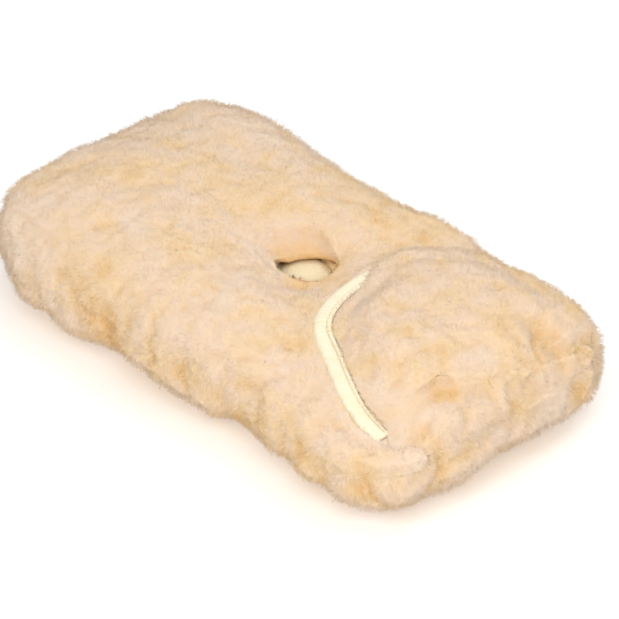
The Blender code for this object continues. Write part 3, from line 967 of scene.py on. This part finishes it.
def folded_tape(name, path, width, height, wall, inwards, needle, material):
    """Binding tape folded over an edge: gathered into small puckers, and drawn in along its stitches."""
    section = tape_section(width, height, wall)
    side, up = frames(path)
    side = side * inwards
    rings = path[:, None] + section[None, :, :1] * side[:, None] + section[None, :, 1:] * up[:, None]
    along = np.arange(len(path)) * np.linalg.norm(path[1] - path[0])
    turning = np.linalg.norm(np.gradient(side, axis=0), axis=1) / np.linalg.norm(path[1] - path[0])
    gather = np.clip(turning * 28 * MM, 0.12, 1.0)
    phase = along / (3.3 * MM) + 0.8 * noise(path, 9 * MM, 91)
    pucker = np.abs(np.sin(math.pi * phase)) ** 0.6
    middle = np.array([0.42 * width, 0.0])
    outwards = section - middle
    reach = np.linalg.norm(outwards, axis=1)
    outwards /= reach[:, None]
    is_outer = np.arange(len(section)) < len(section) - TAPE_TURN - 2
    shift = -0.55 * MM * gather[:, None] * (1 - pucker[:, None]) * is_outer[None, :]
    stitch_row = np.exp(-((section[:, 0] - needle) / (0.55 * MM)) ** 2) * is_outer
    shift = shift - 0.35 * MM * stitch_row[None, :]
    shift = shift + 0.12 * MM * noise(rings.reshape(-1, 3), 2.5 * MM, 97).reshape(shift.shape)
    push = outwards[None, :, :1] * side[:, None] + outwards[None, :, 1:] * up[:, None]
    obj = swept_mesh(name, rings + push * shift[:, :, None])
    # Painted shade: darker in the needle holes along the stitch row and in the valleys between the
    # puckers
    holes = np.exp(-(((along / STITCH_PITCH) % 1 - 0.5) / 0.14) ** 2)
    depth = 0.9 * stitch_row[None, :] * holes[:, None] + 0.35 * gather[:, None] * (1 - pucker[:, None])
    set_attribute(obj.data, "depth", np.clip(depth, 0, 1).ravel())
    return finish_mesh(obj, material)


def running_stitches(name, path, lift, material):
    """A row of lock stitches that dip into the cloth at each needle hole."""
    step = np.linalg.norm(path[1] - path[0])
    per_stitch = max(4, round(STITCH_PITCH / step))
    lines = []
    for start in range(per_stitch // 2, len(path) - per_stitch, per_stitch):
        line = resampled(path[start:start + per_stitch + 1], STITCH_PITCH / 6)
        share = np.linspace(0, 1, len(line))
        line[:, 2] += lift + 0.35 * MM * (np.sin(math.pi * share) - 0.75)
        lines.append(line)
    return finish_mesh(threads(name, lines, THREAD_RADIUS), material)


def make_hood_edge(tape, elastic, thread):
    """The hood's taped lip, with the elastic in its fold and its row of stitches."""
    path = resampled(hood_lie(hood_line(-TAPE_OVERHANG)), LINE_STEP)
    height = LIP_HIGH.z - LIP_LOW.z + 0.8 * MM
    needle = 7.0 * MM
    width = HOOD_TAPE_WIDTH + 1.0 * MM
    binding = folded_tape("hood_tape", path, width, height, TAPE_WALL, 1, needle, tape)
    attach(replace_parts(binding, "hood_binding"), "hood")
    side, up = frames(path)
    flat = np.array([(1.4, -0.7), (3.0, -0.7), (3.0, 0.7), (1.4, 0.7)]) * MM
    rings = path[:, None] + flat[None, :, :1] * side[:, None] + flat[None, :, 1:] * up[:, None]
    band = finish_mesh(swept_mesh("hood_edge_elastic", rings[::2]), elastic)
    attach(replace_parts(band, "hood_elastic"), "hood")
    row = resampled(hood_lie(hood_line(needle - TAPE_OVERHANG)), LINE_STEP)
    stitches = running_stitches("hood_tape_stitches", row, height / 2 - 0.05 * MM, thread)
    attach(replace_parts(stitches, "hood_binding_stitches"), "hood")


def make_mouth_edge(tape, thread):
    path = mouth_line(0)
    height = MOUTH_HIGH.z - MOUTH_LOW.z
    needle = 3.6 * MM
    binding = folded_tape("mouth_tape", path, MOUTH_TAPE_WIDTH, height, TAPE_WALL, -1, needle, tape)
    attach(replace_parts(binding, "mouth_binding"), "mitt")
    row = mouth_line(-needle)
    stitches = running_stitches("mouth_tape_stitches", row, height / 2 - 0.05 * MM, thread)
    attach(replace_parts(stitches, "mouth_binding_stitches"), "mitt")


def make_hole_edge(material):
    """The thumb hole's overlocked edge: a soft roll of cloth wrapped round with thread."""
    wraps = 72
    middle = (RING_LOW.z + RING_HIGH.z) / 2
    half = (RING_HIGH.z - RING_LOW.z) / 2
    inner, outer = HOLE_RADIUS - RING_WIDTH, HOLE_RADIUS
    turn = np.linspace(0, 2 * math.pi, 20, endpoint=False)
    centre, reach = (inner + outer) / 2, (outer - inner) / 2
    angles = np.linspace(0, 2 * math.pi, 264, endpoint=False)
    rings = []
    for angle in angles:
        bump = 0.12 * MM * math.cos(angle * wraps)
        r = centre + (reach - 0.5 * MM + bump) * np.sign(np.cos(turn)) * np.abs(np.cos(turn)) ** 0.6
        z = middle + (half - 0.5 * MM + bump) * np.sin(turn)
        rings.append(np.stack([HOLE.x + r * math.cos(angle), HOLE.y + r * math.sin(angle), z], 1))
    roll = finish_mesh(swept_mesh("thumb_hole_roll", np.array(rings), closed=True), material)
    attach(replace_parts(roll, "thumb_hole_overlock"), "mitt")
    lines = []
    sweep = np.linspace(0.12, 1.88, 17) * math.pi
    for i in range(wraps):
        angle = 2 * math.pi * i / wraps + 0.35 * math.pi / wraps * np.cos(sweep)
        r = centre + (reach + 0.1 * MM) * np.sign(np.cos(sweep)) * np.abs(np.cos(sweep)) ** 0.6
        z = middle + (half + 0.05 * MM) * np.sin(sweep)
        lines.append(np.stack([HOLE.x + r * np.cos(angle), HOLE.y + r * np.sin(angle), z], 1))
    wrapped = finish_mesh(threads("thumb_hole_threads", lines, 0.55 * MM), material)
    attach(wrapped, "mitt")


def make_tacks(material):
    """The two bar tacks: short, dense zigzags that hold the ends of the hood's tape."""
    for name in ("hood_tack_near", "hood_tack_far"):
        low, high = box(name)
        bars = 14
        lines = []
        for i in range(bars):
            y = low.y + 0.5 * MM + (high.y - low.y - MM) * i / (bars - 1)
            lean = 0.25 * MM * (-1) ** i
            foot = low.z + 0.3 * MM
            line = [(low.x, y - lean, foot), (low.x + 0.4 * MM, y - lean, high.z),
                    (high.x - 0.4 * MM, y + lean, high.z), (high.x, y + lean, foot)]
            lines.append(resampled(hood_lie(np.array(line)), 0.4 * MM))
        tack = finish_mesh(threads(name + "_zigzag", lines, 0.36 * MM), material)
        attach(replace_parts(tack, name), "mitt")


# Cloths

def make_cloth(node, name, voxel, material):
    obj = softened(node, name, voxel, 2)
    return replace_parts(finish_mesh(obj, material), node)


def make_pocket_floor(material):
    """The backing under the hand, which bulges up softly into the thumb hole."""
    obj = make_cloth("sole_backing", "pocket_floor", 1.0 * MM, material)
    points = coordinates(obj.data)
    bulge = HOLE + Vector((-1.6, 7.0, 0)) * MM
    radius = np.hypot(points[:, 0] - bulge.x, points[:, 1] - bulge.y)
    level = points[:, 2] < 32 * MM
    points[:, 2] += level * 7 * MM * (1 - ease(radius, 4 * MM, 46 * MM))
    points[:, 2] += level * 7.5 * MM * (1 - ease(radius, 6 * MM, 22 * MM))
    points[:, 2] += level * 0.5 * MM * noise(points * np.array([1, 1, 0]), 24 * MM, 111)
    move(obj.data, points)
    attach(obj, "mitt")


def make_pocket_roof(material):
    obj = make_cloth("top_backing", "pocket_roof", 1.0 * MM, material)
    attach(obj, "mitt")


def make_hood_cloth(material):
    obj = make_cloth("hood_backing", "hood_cloth", 0.8 * MM, material)
    points = hood_lie(coordinates(obj.data))
    points[:, 2] += 0.5 * MM * noise(points * np.array([1, 1, 0]), 20 * MM, 113)
    move(obj.data, points)
    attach(obj, "hood")


# How the pile grows in each place

def top_look(points, normals):
    deep = inset(points)
    z = points[:, 2]
    side = (1 - ease(z, 46 * MM, 62 * MM)) * (1 - ease(deep, 8 * MM, 18 * MM))
    shown = ease(z, 34 * MM, 40 * MM) * np.where(normals[:, 2] < -0.6, 0.1, 1.0)
    inner = (deep > 19 * MM) & (z < 46 * MM)
    density = np.where(inner, 0.02, 0.15 + 0.85 * shown) * (1 - 0.85 * hole_shade(points))
    return pile_look(points, side, density)


def sole_look(points, normals):
    deep = inset(points)
    z = points[:, 2]
    side = ease(z, 1 * MM, 8 * MM) * (1 - ease(deep, 12 * MM, 20 * MM))
    shown = np.where((normals[:, 2] > 0.6) | (z < 0.8 * MM), 0.03, 1.0)
    return pile_look(points, side, shown)


def hood_look(points, normals):
    side = ease(points[:, 0], HINGE.x + 4 * MM, HINGE.x + 16 * MM)
    shown = np.where(normals[:, 2] < -0.5, 0.05, 1.0)
    return pile_look(points, side, shown)


def pile_look(points, side, density):
    """Short and curled on the crowns; longer, drooping and locked together on the flanks."""
    sway, comb = noise_vector(points, 30 * MM, 41), noise_vector(points, 12 * MM, 61)
    lean = side[:, None] * np.array([0, 0, -0.45]) + 0.5 * sway + 0.6 * comb
    return {
        "density": density,
        "lean": lean,
        "length": (2.6 + 1.2 * side) * MM,
        "rise": (2.2 + 0.8 * side) * MM,
        "width": (0.20 + 0.02 * side) * MM,
        "gather": 0.10 + 0.25 * side,
        "wander": np.full(len(points), 0.7),
        "lock": (3.0 + 1.5 * side) * MM,
    }


# The scene

CAMERA_AZIMUTH, CAMERA_ELEVATION = math.radians(46.87), math.radians(34.5)
CAMERA_LENS, CAMERA_DISTANCE = 303.4, 2.5


def put_camera():
    """A long lens looking down on the mitt from its near heel corner."""
    azimuth, elevation = CAMERA_AZIMUTH, CAMERA_ELEVATION
    back = Vector((math.sin(azimuth) * math.cos(elevation), -math.cos(azimuth) * math.cos(elevation),
                   math.sin(elevation)))
    right = Vector((math.cos(azimuth), math.sin(azimuth), 0))
    upwards = back.cross(right)
    target = Vector((6.5, -1.0, 0)) * MM + right * 5.5 * MM + upwards * 23.2 * MM
    data = bpy.data.cameras.new("camera")
    data.lens = CAMERA_LENS
    data.sensor_width = 36
    data.clip_start = 0.05
    camera = bpy.data.objects.new("camera", data)
    camera.location = target + back * CAMERA_DISTANCE
    camera.rotation_euler = (-back).to_track_quat("-Z", "Y").to_euler()
    bpy.context.scene.collection.objects.link(camera)
    bpy.context.scene.camera = camera


def put_light(name, place, aim, size, power, colour):
    data = bpy.data.lights.new(name, "AREA")
    data.shape = "DISK"
    data.size = size
    data.energy = power
    data.color = colour
    light = bpy.data.objects.new(name, data)
    light.location = place
    light.rotation_euler = (Vector(aim) - Vector(place)).to_track_quat("-Z", "Y").to_euler()
    bpy.context.scene.collection.objects.link(light)


def put_floor():
    bm = bmesh.new()
    bmesh.ops.create_grid(bm, x_segments=24, y_segments=24, size=6)
    mesh = bpy.data.meshes.new("floor")
    bm.to_mesh(mesh)
    bm.free()
    floor = new_object("floor", mesh)
    material, nodes, links, shader = new_material("studio_floor")
    shade = noise_node(nodes, links, 0.4)
    colour = ramp_node(nodes, links, shade, ((0.3, (0.93, 0.93, 0.93)), (0.7, (0.95, 0.95, 0.95))))
    links.new(colour, shader.inputs["Base Color"])
    set_inputs(shader, Roughness=0.9, Specular_IOR_Level=0.1, Emission_Color=(1, 1, 1, 1),
               Emission_Strength=0.15)
    mesh.materials.append(material)


def put_world():
    scene = bpy.context.scene
    world = bpy.data.worlds.new("studio")
    world.use_nodes = True
    background = world.node_tree.nodes["Background"]
    set_inputs(background, Color=(1, 1, 1, 1), Strength=0.62)
    scene.world = world
    scene.view_settings.view_transform = "Standard"


put_camera()
put_floor()
put_world()
put_light("key", (0.5, -0.5, 0.9), (0.04, 0, 0.03), 0.7, 5.0, (1.0, 0.98, 0.96))
put_light("top_light", (0.2, 0.3, 1.4), (0.08, 0, 0.03), 0.9, 3.5, (1.0, 0.99, 0.97))

mass, fibre = fleece_base_material(), fleece_fibre_material()
top_pile = make_top_pile(mass)
sole_pile = make_sole_pile(mass)
hood_pile = make_hood_pile(mass)
tape = tape_material()
thread = thread_material("cream_thread", (0.93, 0.86, 0.66), (0.72, 0.60, 0.40))
knit = knit_material("cream_knit", (0.98, 0.88, 0.66), (0.95, 0.78, 0.50), 1.1 * MM)
make_hood_edge(tape, elastic_material(), thread)
make_mouth_edge(tape, thread)
# The ring's thread is a warmer ochre copy of the cream thread: painted shade for the hollow of the thumb
# hole
make_hole_edge(thread_material("overlock_thread_shaded", (0.96, 0.78, 0.48), (0.90, 0.60, 0.28)))
make_tacks(thread)
make_pocket_floor(knit)
make_pocket_roof(knit)
make_hood_cloth(knit)
seam = frame["nodes"]["side_seam"]
seam.data.materials.clear()
seam.data.materials.append(thread)
for part in range(3):
    plant(top_pile, f"top_fibres_{part + 1}", PANEL_FIBRES, top_look, fibre, 100 + part, "mitt")
    plant(sole_pile, f"sole_fibres_{part + 1}", PANEL_FIBRES, sole_look, fibre, 200 + part, "mitt")
for part in range(2):
    plant(hood_pile, f"hood_fibres_{part + 1}", HOOD_FIBRES, hood_look, fibre, 300 + part, None)
